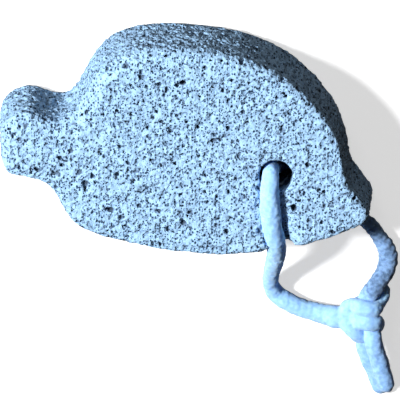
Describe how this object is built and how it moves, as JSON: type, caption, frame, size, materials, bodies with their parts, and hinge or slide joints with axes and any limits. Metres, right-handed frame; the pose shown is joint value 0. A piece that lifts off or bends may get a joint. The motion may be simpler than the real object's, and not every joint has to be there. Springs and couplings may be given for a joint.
{
  "type": "pumice stone",
  "caption": "Flat pumice foot stone with a narrower end to grip, threaded through a hole and groove on a knotted cord loop; rubs away hard skin.",
  "frame": {"origin": "centre of the stone's footprint on its flat back face, which it lies on", "axes": "+X along the stone from its narrow end to the end with the cord, +Y across it away from the cord loop, +Z out of its front face"},
  "size_m": [0.109, 0.106, 0.026],
  "materials": {
    "pumice": "matte",
    "cord_cotton": "matte"
  },
  "bodies": {
    "root": {"pumice_stone": "pumice", "cord_front": "cord_cotton", "cord_back": "cord_cotton", "cord_knot": "cord_cotton", "cord_tail_left": "cord_cotton", "cord_tail_right": "cord_cotton"}
  },
  "joints": []
}
